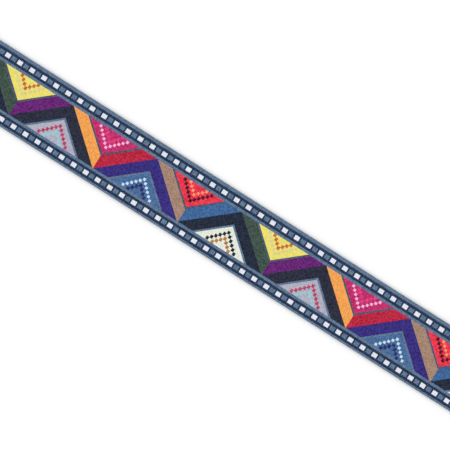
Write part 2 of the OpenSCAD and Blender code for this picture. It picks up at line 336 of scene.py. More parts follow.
class StrapStage(bpy.types.PropertyGroup):
    """Camera, light and floor"""
    view_x: length("View", "From the head tab's edge to the middle of the picture", 279.45)
    view_y: length("View offset", "Middle of the picture from the strap's middle line", 0.4)
    view_w: length("View width", "Width of the picture on the strap", 307.4)
    turn: angle("Turn", "How far the strap runs downwards to the right", 32.333)
    lens: number("Lens", "Focal length in millimetres", 150, unit="CAMERA")
    sky: number("Sky", "Even light from all round", 0.68)
    lamp: number("Lamp", "Soft light from either side", 0.575)
    lamp_tilt: angle("Lamp tilt", "How far a lamp leans to its side", 32)
    lamp_size: angle("Lamp size", "How wide a lamp looks", 40)
    floor_w: length("Floor width", "Width of the floor", 12000)
    paper: colour("Paper", "Floor", "#f2f2f2")
    paper_glow: number("Paper glow", "What lifts the floor to white where it is seen", 0.14)


# Shapes

def smooth(t):
    """Smooth step: three t squared less two t cubed, with t held from 0 to 1."""
    t = np.clip(t, 0, 1)
    return t * t * (3 - 2 * t)


def arc(centre, radius, start, end, count):
    """Points on a circle about a centre, at even angles from start to end."""
    turn = np.linspace(start, end, count)
    return np.stack([centre[0] + radius * np.cos(turn), centre[1] + radius * np.sin(turn)], 1)


def slope(a, b, count=24):
    """Way from one level to another: the first coordinate goes evenly and the second by the smooth step."""
    t = np.linspace(0, 1, count)[:, None]
    return np.array(a) + (np.array(b) - np.array(a)) * np.hstack([t, smooth(t)])


def glide(a, way_a, b, way_b, count=24):
    """Hermite cubic from a to b, leaving along way_a and arriving along way_b, each as strong as the gap."""
    t = np.linspace(0, 1, count)[:, None]
    a, b, way_a, way_b = (np.array(v, float) for v in (a, b, way_a, way_b))
    reach = np.linalg.norm(b - a)
    bow = t * (1 - t) ** 2 * way_a - t * t * (1 - t) * way_b
    return a + (b - a) * smooth(t) + reach * bow


def sewn_loop(x, z, radius, top_x, under_x, sewing):
    """Inner face of webbing sewn round a bar at x, z: the upper ply from top_x, a cubic up to the bar's
    circle, the circle clockwise from where the cubic touches it to straight below, and the lower ply back to
    under_x."""
    ply_z = z - radius + sewing.ply_gap
    start = np.array((x - sewing.eye_l, ply_z))
    gap = start - (x, z)
    touch = math.tau + math.atan2(gap[1], gap[0]) - math.acos(radius / math.hypot(*gap))
    bend = arc((x, z), radius, touch, -math.pi / 2, BEND_POINTS)
    rise = glide(start, (1, 0), bend[0], (math.sin(touch), -math.cos(touch)))
    return np.vstack([[(top_x, ply_z)], rise, bend[1:], [(under_x, z - radius)]])


def reach_along(points):
    """Length so far at each point of a line."""
    return np.concatenate([[0], np.cumsum(np.linalg.norm(np.diff(points, axis=0), axis=1))])


def at_lengths(points, so_far):
    """Places at these lengths along a line of points."""
    reach = reach_along(points)
    return np.stack([np.interp(so_far, reach, column) for column in points.T], 1)


def walk(points, step, own_points=True):
    """Places along a line of points, at each step of length and at its own points too unless that is off:
    the length so far, the place and the unit normal to the left of the way. Lengths are rounded, so that
    equal ones are taken once."""
    reach = reach_along(points)
    so_far = np.arange(math.ceil(reach[-1] / step)) * step
    so_far = np.concatenate([so_far, reach if own_points else reach[-1:]])
    so_far = np.unique(np.round(so_far, LENGTH_DIGITS))
    place = at_lengths(points, so_far)
    way = np.gradient(place, so_far, axis=0)
    way /= np.linalg.norm(way, axis=1)[:, None]
    return so_far, place, np.stack([-way[:, 1], way[:, 0]], 1)


def beside(points, lift):
    """The line of points moved to its left by lift."""
    _, place, normal = walk(points, STRAP_W)
    return place + lift * normal


def section(low, high, face_y, under_y, round_steps=7):
    """Closed outline of a strip from level low to level high: over the face at face_y, down a half round
    selvedge, back underneath at under_y and up the other selvedge. Gives the place across, the level and how
    far outwards is up, which is 1 on the face and -1 underneath."""
    radius = (high - low) / 2
    turn = np.linspace(math.pi / 2, -math.pi / 2, round_steps)[1:-1]
    middle = np.full(len(turn), (low + high) / 2)
    right = (face_y[-1] + radius * np.cos(turn), middle + radius * np.sin(turn), np.sin(turn))
    left = (face_y[0] - radius * np.cos(turn), middle - radius * np.sin(turn), -np.sin(turn))
    over = (face_y, np.full(len(face_y), high), np.ones(len(face_y)))
    under = (under_y[::-1], np.full(len(under_y), low), -np.ones(len(under_y)))
    return [np.concatenate(parts) for parts in zip(over, right, under, left)]


def grid_quads(rows, columns, close_rows=False):
    """Corners of the quads of a grid whose columns close on themselves, and whose rows do too if asked."""
    row = np.arange(rows if close_rows else rows - 1)[:, None]
    column = np.arange(columns)[None, :]
    down, over = (row + 1) % rows, (column + 1) % columns
    corners = np.broadcast_arrays(
        row * columns + column, row * columns + over, down * columns + over, down * columns + column)
    return np.stack(corners, -1).reshape(-1, 4)


def end_caps(rows, columns):
    """Corners of the two faces that close such a grid at its first and its last row."""
    first = np.arange(columns)
    return np.stack([first[::-1], first + (rows - 1) * columns])


def strip(path, outline, relief):
    """Strip of webbing along a path: its section's outline carried from place to place, and raised by
    relief(along, across, outward). Gives the points, the faces with both cut ends, and each point's place
    along and across."""
    so_far, place, normal = path
    across, level, outward = outline
    along_grid, across_grid = np.meshgrid(so_far, across, indexing="ij")
    rise = level + relief(along_grid, across_grid, outward)
    points = np.stack([
        place[:, :1] + normal[:, :1] * rise, across_grid, place[:, 1:] + normal[:, 1:] * rise], -1)
    faces = [grid_quads(*rise.shape), end_caps(*rise.shape)]
    return points.reshape(-1, 3), faces, np.stack([along_grid, across_grid], -1).reshape(-1, 2)


def tube(path, flat_normal, radius, closed, sides=24):
    """Round wire along a flat path: at each point a circle between the path's own normal and the plane's."""
    if closed:
        way = np.roll(path, -1, 0) - np.roll(path, 1, 0)
    else:
        way = np.gradient(path, axis=0)
    way /= np.linalg.norm(way, axis=1)[:, None]
    out = np.cross(flat_normal, way)
    turn = np.linspace(0, math.tau, sides, endpoint=False)[None, :, None]
    ring = np.cos(turn) * out[:, None] + np.sin(turn) * np.array(flat_normal)
    points = path[:, None] + np.broadcast_to(radius, len(path))[:, None, None] * ring
    faces = [grid_quads(len(path), sides, closed)]
    if not closed:
        faces.append(end_caps(len(path), sides))
    return points.reshape(-1, 3), faces


def even_loop(points, count):
    """A closed outline as so many points at even lengths."""
    closed = np.vstack([points, points[:1]])
    return at_lengths(closed, np.arange(count) / count * reach_along(closed)[-1])


def slab(inner, outer, under, over, edge_r, face_steps, round_steps=5):
    """Plate between a hole and an outline that have as many points: from each point of the hole straight to
    its fellow on the outline, over the top and back underneath, with quarter rounds of edge_r at all four
    edges. under(x, y) and over(x, y) are the levels of its two faces. Gives the points, the faces, and each
    point's place along the way round and its distance from the nearer edge."""
    turn = np.linspace(0, math.pi / 2, round_steps)
    share = np.linspace(0, 1, face_steps)[1:-1]
    inset = np.concatenate([1 - np.cos(turn), np.ones(len(share)), 1 + np.sin(turn)])
    across = np.concatenate([np.zeros(len(turn)), share, np.ones(len(turn))])
    drop = np.concatenate([1 - np.sin(turn), np.zeros(len(share)), 1 - np.cos(turn)])
    inset, across, drop = (np.concatenate([v, v[::-1]]) for v in (inset, across, drop))
    on_top = np.arange(len(drop)) < len(drop) / 2
    gap = outer - inner
    reach = np.linalg.norm(gap, axis=1)[:, None]
    out = (edge_r * inset + across * (reach - 2 * edge_r)) / reach
    x, y = (inner[:, i:i + 1] + out * gap[:, i:i + 1] for i in (0, 1))
    z = np.where(on_top, over(x, y) - edge_r * drop, under(x, y) + edge_r * drop)
    points = np.stack(np.broadcast_arrays(x, y, z), -1).reshape(-1, 3)
    around = np.linalg.norm(np.roll(outer, -1, 0) - outer, axis=1).cumsum()[:, None]
    edge = np.stack(np.broadcast_arrays(around, np.minimum(out, 1 - out) * reach), -1).reshape(-1, 2)
    return points, [grid_quads(len(inner), len(drop), True)], edge


def rounded_rectangle(half_x, half_y, radius, side_steps=9, corner_steps=7):
    """Rectangle about the origin with round corners, from the middle of its +X side round to the left: each
    corner is an arc, and each side has even steps, so that two such outlines match point by point."""
    x, y = half_x - radius, half_y - radius
    corners = [(x, y), (-x, y), (-x, -y), (x, -y)]
    rounds = [
        arc(corner, radius, q * math.pi / 2, (q + 1) * math.pi / 2, corner_steps)
        for q, corner in enumerate(corners)]
    sides = [np.linspace(rounds[q][-1], rounds[(q + 1) % 4][0], side_steps + 2)[1:-1] for q in range(4)]
    loop = np.vstack([part for pair in zip(rounds, sides) for part in pair])
    return np.roll(loop, side_steps // 2 + 1, axis=0)


def stitch_line(a, b, z, sewing):
    """Stitches from a to b on level z, as many as fit, centred: each one's middle, turn, and 1 for up."""
    a, b = np.array(a, float), np.array(b, float)
    run = np.linalg.norm(b - a)
    pitch = sewing.stitch_l + sewing.stitch_gap
    count = math.floor((run + sewing.stitch_gap) / pitch + SLACK)
    at = (run - count * pitch + sewing.stitch_gap) / 2 + np.arange(count) * pitch + sewing.stitch_l / 2
    place = a + (b - a) * (at / run)[:, None]
    turn = math.atan2(b[1] - a[1], b[0] - a[0])
    return np.column_stack([place, np.full(count, z), np.full(count, turn), np.ones(count)])


def stitch_arc(x, radius, start, end, z, sewing):
    """Stitches round an arc about x on level z, as in a straight row."""
    count = math.floor(radius * (end - start) / (sewing.stitch_l + sewing.stitch_gap))
    turn = start + (end - start) * (np.arange(count) + 0.5) / count
    place = (x + radius * np.cos(turn), radius * np.sin(turn), np.full(count, z))
    return np.column_stack([*place, turn + math.pi / 2, np.ones(count)])


def stitch_box(x1, x2, half_w, z, sewing):
    """Stitches round a rectangle from x1 to x2."""
    inside = half_w - sewing.stitch_gap
    return np.vstack(
        [stitch_line((x1, y), (x2, y), z, sewing) for y in (-half_w, half_w)]
        + [stitch_line((x, -inside), (x, inside), z, sewing) for x in (x1, x2)])


def cross_box(x1, x2, z, sewing):
    """Stitches round a rectangle and along its two diagonals."""
    half_w = STRAP_W / 2 - sewing.leather_inset
    inner = sewing.thread_w + sewing.stitch_gap
    low, high = (x1 + inner, inner - half_w), (x2 - inner, half_w - inner)
    return np.vstack([
        stitch_box(x1, x2, half_w, z, sewing),
        stitch_line(low, high, z, sewing),
        stitch_line((low[0], high[1]), (high[0], low[1]), z, sewing)])


def sewn_through(rows, under_z):
    """Stitches on a face and, with -1 for down, the same ones on the other face at under_z."""
    under = rows.copy()
    under[:, 2] = under_z
    under[:, 4] = -1
    return np.vstack([rows, under])


def stitches(rows, sewing, sides=6, rings=5):
    """Thread of every stitch: an oval carried along an arch whose height falls off with the fourth power
    towards both ends, where the thread goes into the cloth, closed by a point at each end. A stitch that
    points down is turned over about its own length."""
    t = np.linspace(-STITCH_REACH, STITCH_REACH, rings)[:, None]
    turn = np.linspace(0, math.tau, sides, endpoint=False)
    lift = sewing.thread_h * (STITCH_ARCH - STITCH_DROP * t ** 4)
    thick = np.sqrt(1 - STITCH_THINNING * t ** 4)
    oval = np.stack(np.broadcast_arrays(
        sewing.stitch_l / 2 * t,
        sewing.thread_w / 2 * thick * np.cos(turn),
        lift + (1 - STITCH_ARCH) * sewing.thread_h * thick * np.sin(turn)), -1).reshape(-1, 3)
    tips = np.array([(s * sewing.stitch_l / 2, 0, -sewing.thread_h) for s in (-1, 1)])
    one = np.vstack([oval, tips])
    around = np.arange(sides)
    after = (around + 1) % sides
    last = (rings - 1) * sides
    points_in = np.column_stack([after, around, np.full(sides, len(oval))])
    points_out = np.column_stack([around + last, after + last, np.full(sides, len(oval) + 1)])
    x, y, z, turn, up = (rows[:, i, None] for i in range(5))
    points = np.stack([
        x + np.cos(turn) * one[:, 0] - np.sin(turn) * up * one[:, 1],
        y + np.sin(turn) * one[:, 0] + np.cos(turn) * up * one[:, 1],
        z + up * one[:, 2]], -1)
    moves = np.arange(len(rows))[:, None, None] * len(one)
    parts = (grid_quads(rings, sides), points_in, points_out)
    return points.reshape(-1, 3), [(face + moves).reshape(-1, face.shape[1]) for face in parts]


def make_piece(name, points, faces, material, slot, replaced, weave=None, rows=None, sharp=40):
    """Object with these points and faces, turned so that they point outwards, smooth but for edges sharper
    than sharp degrees. They point outwards if the volume is positive, which goes by the sum, over each
    face's fan of triangles, of one corner dot the cross product of the next two. weave gives each point's
    place on a strip, and rows each face corner's place in an image."""
    volume = sum((points[f[:, :1]] * np.cross(points[f[:, 1:-1]], points[f[:, 2:]])).sum() for f in faces)
    corner_order = 1 if volume > 0 else -1
    faces = [f[:, ::corner_order] for f in faces]
    mesh = bpy.data.meshes.new(name)
    mesh.from_pydata(points.tolist(), [], [face for f in faces for face in f.tolist()], shade_flat=False)
    if mesh.validate():
        raise ValueError(f"{name} has faces that can't be built")
    mesh.set_sharp_from_angle(angle=math.radians(sharp))
    maps = {}
    if weave is not None:
        maps[WEAVE_MAP] = weave[np.concatenate([f.ravel() for f in faces])]
    if rows is not None:
        maps[ROWS_MAP] = np.concatenate([r[:, ::corner_order].reshape(-1, 2) for r in rows])
    for map_name, places in maps.items():
        layer = mesh.uv_layers.new(name=map_name)
        layer.uv.foreach_set("vector", places.astype(np.float32).ravel())
    mesh.materials.append(material)
    piece = bpy.data.objects.new(name, mesh)
    bpy.context.scene.collection.objects.link(piece)
    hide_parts(*replaced)
    return piece


# Finishes

def add_node(tree, kind, *values, named=None, stops=(), shades=(), out=None, **settings):
    """Adds one shader node and gives the output that is asked for, or its first open one. A kind such as
    Math.SINE names the node and its operation. Values fill its open sockets in order and named ones by name,
    each as a constant or a link. Stops fill its colour ramp, and shades fill it at even places from 0."""
    kind, _, operation = kind.partition(".")
    made = tree.nodes.new("ShaderNode" + kind)
    if operation:
        made.operation = operation
    for key, value in settings.items():
        setattr(made, key, value)
    sockets = [socket for socket in made.inputs if socket.enabled]
    by_name = [(made.inputs[key], value) for key, value in (named or {}).items()]
    for socket, value in [*zip(sockets, values), *by_name]:
        if isinstance(value, bpy.types.NodeSocket):
            tree.links.new(value, socket)
        else:
            socket.default_value = value
    stops = stops or [(i / len(shades), shade) for i, shade in enumerate(shades)]
    if stops:
        made.color_ramp.interpolation = "CONSTANT"
        elements = made.color_ramp.elements
        while len(elements) < len(stops):
            elements.new(1)
        for element, (place, shade) in zip(elements, stops):
            element.position = place
            element.color = shade
    return made.outputs[out] if out else next((socket for socket in made.outputs if socket.enabled), None)


def finish(maker, group):
    """The material that a maker gives for a group of settings, made once and named after the maker."""
    material = bpy.data.materials.get(maker.__name__)
    if material is None:
        material = bpy.data.materials.new(maker.__name__)
        material.use_nodes = True
        material.node_tree.nodes.clear()
        add = partial(add_node, material.node_tree)
        add("OutputMaterial", maker(add, group))
    return material


def wave(add, place, pitch):
    """Sine wave along a place, which comes back after each pitch."""
    return add("Math.SINE", add("Math.MULTIPLY", place, math.tau / pitch))


def seen_rays(add):
    """1 for a ray that is seen straight or mirrored or passes through, and 0 for one that only lights."""
    ray = add("LightPath").node.outputs
    mirrored = add("Math.MAXIMUM", ray["Is Glossy Ray"], ray["Is Transmission Ray"])
    return add("Math.MAXIMUM", ray["Is Camera Ray"], mirrored)


def block_sizes(pattern):
    """From one white block to the next, and the middle and half the width of a row of blocks."""
    middle, half = (pattern.block_out + pattern.block_in) / 2, (pattern.block_out - pattern.block_in) / 2
    return pattern.repeat / BLOCKS_PER_REPEAT, middle, half


def jacquard_polyester(add, pattern):
    """Woven filament polyester: clear, flat colours that change from one thread to the next, with a faint
    satin and a fine tick of light and dark threads."""
    weave_place = add("UVMap", uv_map=WEAVE_MAP)
    along, across = add("SeparateXYZ", weave_place).node.outputs[:2]

    # Height over the V that each repeat draws: its two legs rise from the zone's lower edge to its upper one
    from_point = add("Math.SUBTRACT", along, pattern.start + pattern.repeat / 2)
    repeats = add("Math.DIVIDE", from_point, pattern.repeat)
    off_v = add("Math.PINGPONG", repeats, 0.5)
    height = add("Math.ADD", across, pattern.shift + pattern.zone_w / 2)
    rise = add("Math.MULTIPLY_ADD", off_v, -2 * pattern.zone_w, height)

    # Where in the repeat of three a thread lies, counted from a peak's start at the point of a V and, one
    # leg before it, from that V's own start
    thirds = add("Math.DIVIDE", repeats, 3)
    from_peak = add("Math.FRACT", thirds)
    from_v = add("Math.FRACT", add("Math.ADD", thirds, 1 / 6))

    # Layers from the bottom up, each with its share and its shade: legs of peaks and Vs, triangles and the
    # line round each triangle. kind runs from 0 to 1 over the three upper triangles and then the lower ones
    peak_legs = add("ValToRGB", from_peak, shades=[pattern.charcoal, pattern.indigo, pattern.black])
    v_legs = add("ValToRGB", from_v, shades=[
        pattern.green, pattern.purple, pattern.orange, pattern.crimson, pattern.taupe, pattern.blue])
    above = add("Math.GREATER_THAN", rise, 0)
    upper = add("Math.GREATER_THAN", rise, pattern.upper_leg)
    lower = add("Math.LESS_THAN", rise, -pattern.lower_leg)
    triangle = add("Math.ADD", upper, lower)
    of_three = add("Mix", lower, from_v, from_peak)
    kind = add("Math.DIVIDE", add("Math.ADD", of_three, lower), 2)
    grounds = add("ValToRGB", kind, shades=[
        pattern.yellow, pattern.magenta, pattern.scarlet, pattern.pale_blue, pattern.steel, pattern.ivory])
    upper_line = add("Math.COMPARE", rise, pattern.upper_leg, pattern.line_w / 2)
    lower_line = add("Math.COMPARE", rise, -pattern.lower_leg, pattern.line_w / 2)
    layers = [
        (above, v_legs), (triangle, grounds), (upper_line, pattern.outline), (lower_line, pattern.slate)]

    # Dots in two chevrons: squares one pitch apart along and across, counted from the triangle's middle line
    away_v = add("Math.MULTIPLY", off_v, pattern.repeat)
    away_peak = add("Math.SUBTRACT", pattern.repeat / 2, away_v)
    away = add("Mix", lower, away_v, away_peak)
    depth = add("Math.SUBTRACT", pattern.zone_w, height)
    level = add("Mix", lower, height, depth)
    pitch = pattern.dot_pitch
    rank = add("Math.SNAP", add("Math.ADD", away, pitch / 2), pitch)
    sideways = add("Math.PINGPONG", away, pitch / 2)
    wide, fine = pattern.dot_w / 2, pattern.pale_w / 2
    chevrons = [
        (pattern.outer_apex, pattern.outer_dots, [wide, fine, wide, wide, fine, wide], [
            pattern.peach, pattern.blush, pattern.maroon, pattern.cherry, pattern.frost, pattern.ink]),
        (pattern.inner_apex, pattern.inner_dots, [wide, wide, fine, wide, wide, wide], [
            pattern.brick, pattern.rose, pattern.amber, pattern.aqua, pattern.plum, pattern.copper])]
    for apex, count, halves, shades in chevrons:
        over_apex = add("Math.SUBTRACT", level, apex)
        upright = add("Math.ABSOLUTE", add("Math.SUBTRACT", over_apex, rank))
        reach = add("Math.MAXIMUM", sideways, upright)
        half = add("ValToRGB", kind, shades=[(v, v, v, 1) for v in halves])
        near = add("Math.LESS_THAN", reach, half)
        counted = add("Math.LESS_THAN", rank, (count - 0.5) * pitch)
        dot = add("Math.MULTIPLY", add("Math.MULTIPLY", near, counted), triangle)
        layers.append((dot, add("ValToRGB", kind, shades=shades)))

    # Border: slate line, navy ground with a row of white and slate blocks, slate selvedge
    block_pitch, block_middle, block_half = block_sizes(pattern)
    from_line = add("Math.ABSOLUTE", add("Math.ADD", across, pattern.shift))
    border = add("ValToRGB", add("Math.DIVIDE", from_line, STRAP_W), stops=[
        (0, pattern.slate),
        (pattern.line_out / STRAP_W, pattern.navy),
        (pattern.edge_in / STRAP_W, pattern.slate)])
    outside = add("Math.GREATER_THAN", from_line, pattern.line_in)
    from_block = add("Math.SUBTRACT", along, pattern.block_start)
    off_white = add("Math.PINGPONG", add("Math.DIVIDE", from_block, block_pitch), 0.5)
    blocks = add("ValToRGB", off_white, stops=[
        (0, pattern.white),
        (pattern.white_l / block_pitch / 2, pattern.navy),
        (0.5 - pattern.slate_l / block_pitch / 2, pattern.slate)])
    in_row = add("Math.COMPARE", from_line, block_middle, block_half)
    layers += [(outside, border), (in_row, blocks)]
    shade = peak_legs
    for share, layer in layers:
        shade = add("Mix", share, shade, layer, data_type="RGBA")

    # Threads: each tick of the weave is a little lighter or darker, slate weft shows between them, and they
    # lie in fine ribs
    ticks = add("VectorMath.MULTIPLY", weave_place, (1 / TICK_L, 1 / TICK_W, 0))
    chance = add("TexWhiteNoise", add("VectorMath.FLOOR", ticks), noise_dimensions="2D")
    swing = add("MapRange", add("RGBToBW", shade), 0, PALE_LIGHT, DARK_SWING, PALE_SWING)
    fleck = add("Math.MULTIPLY_ADD", add("Math.SUBTRACT", chance, 0.5), swing, MEAN_TONE)
    twill = wave(add, add("Math.ADD", along, across), TWILL_L)
    tone = add("Math.MULTIPLY_ADD", twill, TWILL_TONE, fleck)
    shade = add("Mix", 1, shade, tone, data_type="RGBA", blend_type="MULTIPLY")
    weft = add("Math.MULTIPLY", chance, WEFT_SHOWN)
    shade = add("Mix", weft, shade, pattern.slate, data_type="RGBA")
    relief = add("Math.MULTIPLY", wave(add, along, TICK_L), wave(add, across, TICK_W))
    normal = add("Bump", named={"Strength": 0.35, "Distance": 0.06 * MM, "Height": relief})
    return add("BsdfPrincipled", named={
        "Base Color": shade, "Roughness": 0.72, "Specular IOR Level": 0.1, "Normal": normal})


def polypropylene_webbing(add, webbing):
    """Herringbone webbing of polypropylene yarn: matt and dark, with slanting twill lines that turn at each
    column and catch a little light."""
    along, across = add("SeparateXYZ", add("UVMap", uv_map=WEAVE_MAP)).node.outputs[:2]
    zigzag = add("Math.PINGPONG", across, webbing.column_w)
    twill = wave(add, add("Math.ADD", along, zigzag), webbing.twill_l)
    fibre = add("TexNoise", add("TexCoord", out="Object"), 1 / FIBRE, 3)
    lit = add("MapRange", twill, -1, 1, 0.72, 1.2)
    worn = add("MapRange", fibre, 0.3, 0.7, 0.85, 1.15)
    tone = add("Math.MULTIPLY", lit, worn)
    shade = add("Mix", 1, webbing.navy, tone, data_type="RGBA", blend_type="MULTIPLY")
    height = add("Math.MULTIPLY_ADD", fibre, 0.4, twill)
    normal = add("Bump", named={"Strength": 0.5, "Distance": 0.15 * MM, "Height": height})
    return add("BsdfPrincipled", named={
        "Base Color": shade, "Roughness": 0.62, "Specular IOR Level": 0.35, "Normal": normal})


def bonded_nylon_thread(add, sewing):
    """Twisted, bonded nylon: smooth, slightly waxy, with the twist as fine light and dark."""
    twist = add("TexNoise", add("TexCoord", out="Object"), 1 / TWIST, 2)
    tone = add("MapRange", twist, 0.3, 0.7, 0.8, 1.2)
    shade = add("Mix", 1, sewing.thread, tone, data_type="RGBA", blend_type="MULTIPLY")
    normal = add("Bump", named={"Strength": 0.4, "Distance": 0.08 * MM, "Height": twist})
    return add("BsdfPrincipled", named={
        "Base Color": shade, "Roughness": 0.5, "Specular IOR Level": 0.4, "Normal": normal})


def grained_leather(add, tab):
    """Drum-dyed leather with an embossed grain: small rounded pebbles with painted shade in their creases
    and a painted sheen on top of each pebble, a little wear in broad patches, and dye rubbed off along the
    cut edges."""
    place = add("TexCoord", out="Object")
    pebbles = add("TexVoronoi", place, 1 / PEBBLE, feature="DISTANCE_TO_EDGE")
    patches = add("TexNoise", place, 1 / PATCH, 4)
    # Painted shade darkens the creases between pebbles and a painted sheen lightens their tops. Real wear
    # varies the tone in broad patches, and the tone carries both
    painted_crease_shade_and_sheen = add("MapRange", pebbles, 0, 0.14, 0.45, 1.1)
    wear = add("MapRange", patches, 0.35, 0.7, 0.8, 1.4)
    tone = add("Math.MULTIPLY", painted_crease_shade_and_sheen, wear)
    shade = add("Mix", 1, tab.leather, tone, data_type="RGBA", blend_type="MULTIPLY")
    from_edge = add("SeparateXYZ", add("UVMap", uv_map=WEAVE_MAP), out="Y")
    at_edge = add("MapRange", from_edge, 0, RUBBED, 1, 0)
    scuffs = add("TexNoise", place, 1 / SCUFF, 6)
    scuffed = add("MapRange", scuffs, 0.4, 0.65, 0.1, 0.7)
    rub = add("Math.MULTIPLY", at_edge, scuffed)
    shade = add("Mix", rub, shade, tab.rubbed, data_type="RGBA")
    rough = add("MapRange", patches, 0.3, 0.7, 0.4, 0.58)
    grain = add("MapRange", pebbles, 0, 0.22, 0, 1, interpolation_type="SMOOTHSTEP")
    normal = add("Bump", named={"Strength": 0.8, "Distance": 0.2 * MM, "Height": grain})
    return add("BsdfPrincipled", named={
        "Base Color": shade, "Roughness": rough, "Specular IOR Level": 0.3, "Normal": normal})


def nickel_plated_steel(add, metal):
    """Tumbled steel under bright nickel: warm grey mirror, a little cloudy, with fine handling scratches."""
    place = add("TexCoord", out="Object")
    cloud = add("TexNoise", place, 1 / CLOUD, 5)
    drawn = add("Mapping", place, named={"Scale": (1, 0.06, 1)})
    scratch = add("TexNoise", drawn, 1 / SCRATCH, 2)
    rough = add("MapRange", add("Math.MULTIPLY", cloud, scratch), 0.12, 0.4, 0.14, 0.3)
    normal = add("Bump", named={"Strength": 0.08, "Distance": 0.05 * MM, "Height": scratch})
    return add("BsdfPrincipled", named={
        "Base Color": metal.nickel, "Metallic": 1, "Roughness": rough, "Normal": normal})


def studio_paper(add, stage):
    """Matt white paper that keeps the shadow, lifted to plain white where it is seen or mirrored."""
    lift = add("Math.MULTIPLY", seen_rays(add), stage.paper_glow)
    return add("AddShader", add("BsdfDiffuse", stage.paper), add("Emission", WHITE, lift))


def weave_relief(pattern, along, across):
    """Height of the woven face in metres: dots and blocks are low pillows that rise by the smooth step, and
    a shallow groove, a bell curve across the band, runs where one field of the zigzag meets the next."""
    off_v = np.abs(((along - pattern.start) / pattern.repeat) % 1 - 0.5)
    height = across + pattern.shift + pattern.zone_w / 2
    rise = height - 2 * pattern.zone_w * off_v
    from_line = np.abs(across + pattern.shift)
    joins = np.stack([rise - edge for edge in (0, pattern.upper_leg, -pattern.lower_leg)])
    groove = np.exp(-(joins / pattern.line_w) ** 2).max(0) * (from_line < pattern.line_in)
    lower = rise < -pattern.lower_leg
    triangle = lower | (rise > pattern.upper_leg)
    away = np.where(lower, 0.5 - off_v, off_v) * pattern.repeat
    level = np.where(lower, pattern.zone_w - height, height)
    pitch = pattern.dot_pitch
    rank = np.floor(away / pitch + 0.5)
    dots = np.zeros_like(along)
    for apex, count in ((pattern.outer_apex, pattern.outer_dots), (pattern.inner_apex, pattern.inner_dots)):
        reach = np.maximum(np.abs(away - rank * pitch), np.abs(level - apex - rank * pitch))
        pillow = smooth((DOT_PILLOW * pitch - reach) / PILLOW_EDGE)
        dots = np.maximum(dots, pillow * (rank < count) * triangle)
    block_pitch, block_middle, block_half = block_sizes(pattern)
    in_block = ((along - pattern.block_start) / block_pitch) % 0.5
    off_block = np.abs(in_block - 0.5 * np.round(in_block / 0.5)) * block_pitch
    lengthwise = smooth((pattern.white_l / 2 - off_block) / PILLOW_EDGE + 0.5)
    widthwise = smooth((block_half - np.abs(from_line - block_middle)) / PILLOW_EDGE + 0.5)
    return pattern.relief * (np.maximum(dots, lengthwise * widthwise) - GROOVE_SHARE * groove)


def strap_path(sewing, tab):
    """Underside of the main strap: from inside the head tab down to the ground, along it, round the ring."""
    edge_x = HEAD_HIGH.x
    flap_x = RING_X - sewing.eye_l - sewing.sewn_l
    down_x = edge_x + sewing.lead_l
    lift_x = flap_x - sewing.ramp_l
    ply_z = FOLD_Z + sewing.ply_gap
    loop = sewn_loop(RING_X, BAR_Z, RING_HOLD_R, flap_x, flap_x, sewing)
    return np.vstack([
        [(edge_x - tab.overlap, LEAF_T)],
        slope((down_x, LEAF_T), (down_x + sewing.ramp_l, 0)),
        slope((lift_x, 0), (flap_x, ply_z)),
        loop[1:]])


def face_places(thickness, count):
    """Even places across a strip's face, between its half round selvedges."""
    half = (STRAP_W - thickness) / 2
    return np.linspace(-half, half, count)


def image_rows(stations, around, face_steps):
    """Places in a square image for each face corner of a strip: the strip is cut across into IMAGE_ROWS rows
    that lie one above the other, each with the way round the section as its height, most of it for the face.
    The two cut ends lie in the thin margin over the last row."""
    per_row = math.ceil((stations - 1) / IMAGE_ROWS)
    station, place = np.meshgrid(np.arange(stations - 1), np.arange(around), indexing="ij")
    row = station // per_row
    left = (station - row * per_row) / per_row
    right = left + 1 / per_row
    level = np.interp(np.arange(around + 1), (0, face_steps - 1, around), (0, IMAGE_FACE, 1))
    low, high = level[place], level[place + 1]
    corners = [
        np.stack([u, (row + IMAGE_MARGIN + (1 - 2 * IMAGE_MARGIN) * v) / IMAGE_ROWS], -1)
        for u, v in ((left, low), (left, high), (right, high), (right, low))]
    quads = np.stack(corners, 2).reshape(-1, 4, 2)
    turn = np.linspace(0, math.tau, around, endpoint=False)
    spot_x, spot_y = 0.5 + END_SPOT * np.cos(turn), 0.5 + END_SPOT * np.sin(turn)
    spot = np.stack([spot_x, 1 - IMAGE_MARGIN / IMAGE_ROWS * spot_y], -1)
    return [quads, np.stack([spot[::-1], spot])]


class STRAP_OT_band(bpy.types.Operator):
    """Weave the patterned band: a strip along the outer face of the main strap, with the pattern's relief"""
    bl_idname = "strap.band"
    bl_label = "Patterned Band"

    def execute(self, context):
        scene = context.scene
        pattern = scene.strap_pattern
        band_t = STRAP_T - BACKING_T
        face = beside(strap_path(scene.strap_sewing, scene.strap_tab), STRAP_T)
        step = pattern.dot_pitch / BAND_STEPS_PER_DOT
        so_far, place, normal = walk(face, step, own_points=False)
        # Lengths are counted from the head tab's edge, as the pattern's are
        first_half = slice(len(place) // 2)
        so_far = so_far - np.interp(HEAD_HIGH.x, place[first_half, 0], so_far[first_half])
        face_steps = round(STRAP_W / step)
        outline = section(
            -band_t, 0, face_places(band_t, face_steps), face_places(band_t, BAND_UNDER_STEPS))
        turn_back = so_far[np.argmax(place[:, 0])]

        def relief(along, across, outward):
            woven = (outward == 1) & (np.abs(across) < STRAP_W / 2 - band_t)
            fade = smooth((along - RELIEF_FADE) / RELIEF_FADE) * smooth((turn_back - along) / RELIEF_FADE)
            return weave_relief(pattern, along, across) * woven * fade

        points, faces, weave = strip((so_far, place, normal), outline, relief)
        band = make_piece(
            "patterned_band", points, faces, finish(jacquard_polyester, pattern), "woven_band",
            ["woven_band", "woven_band_ring_loop"], weave,
            image_rows(len(so_far), len(outline[0]), face_steps))
        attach(band, "strap")
        return {"FINISHED"}


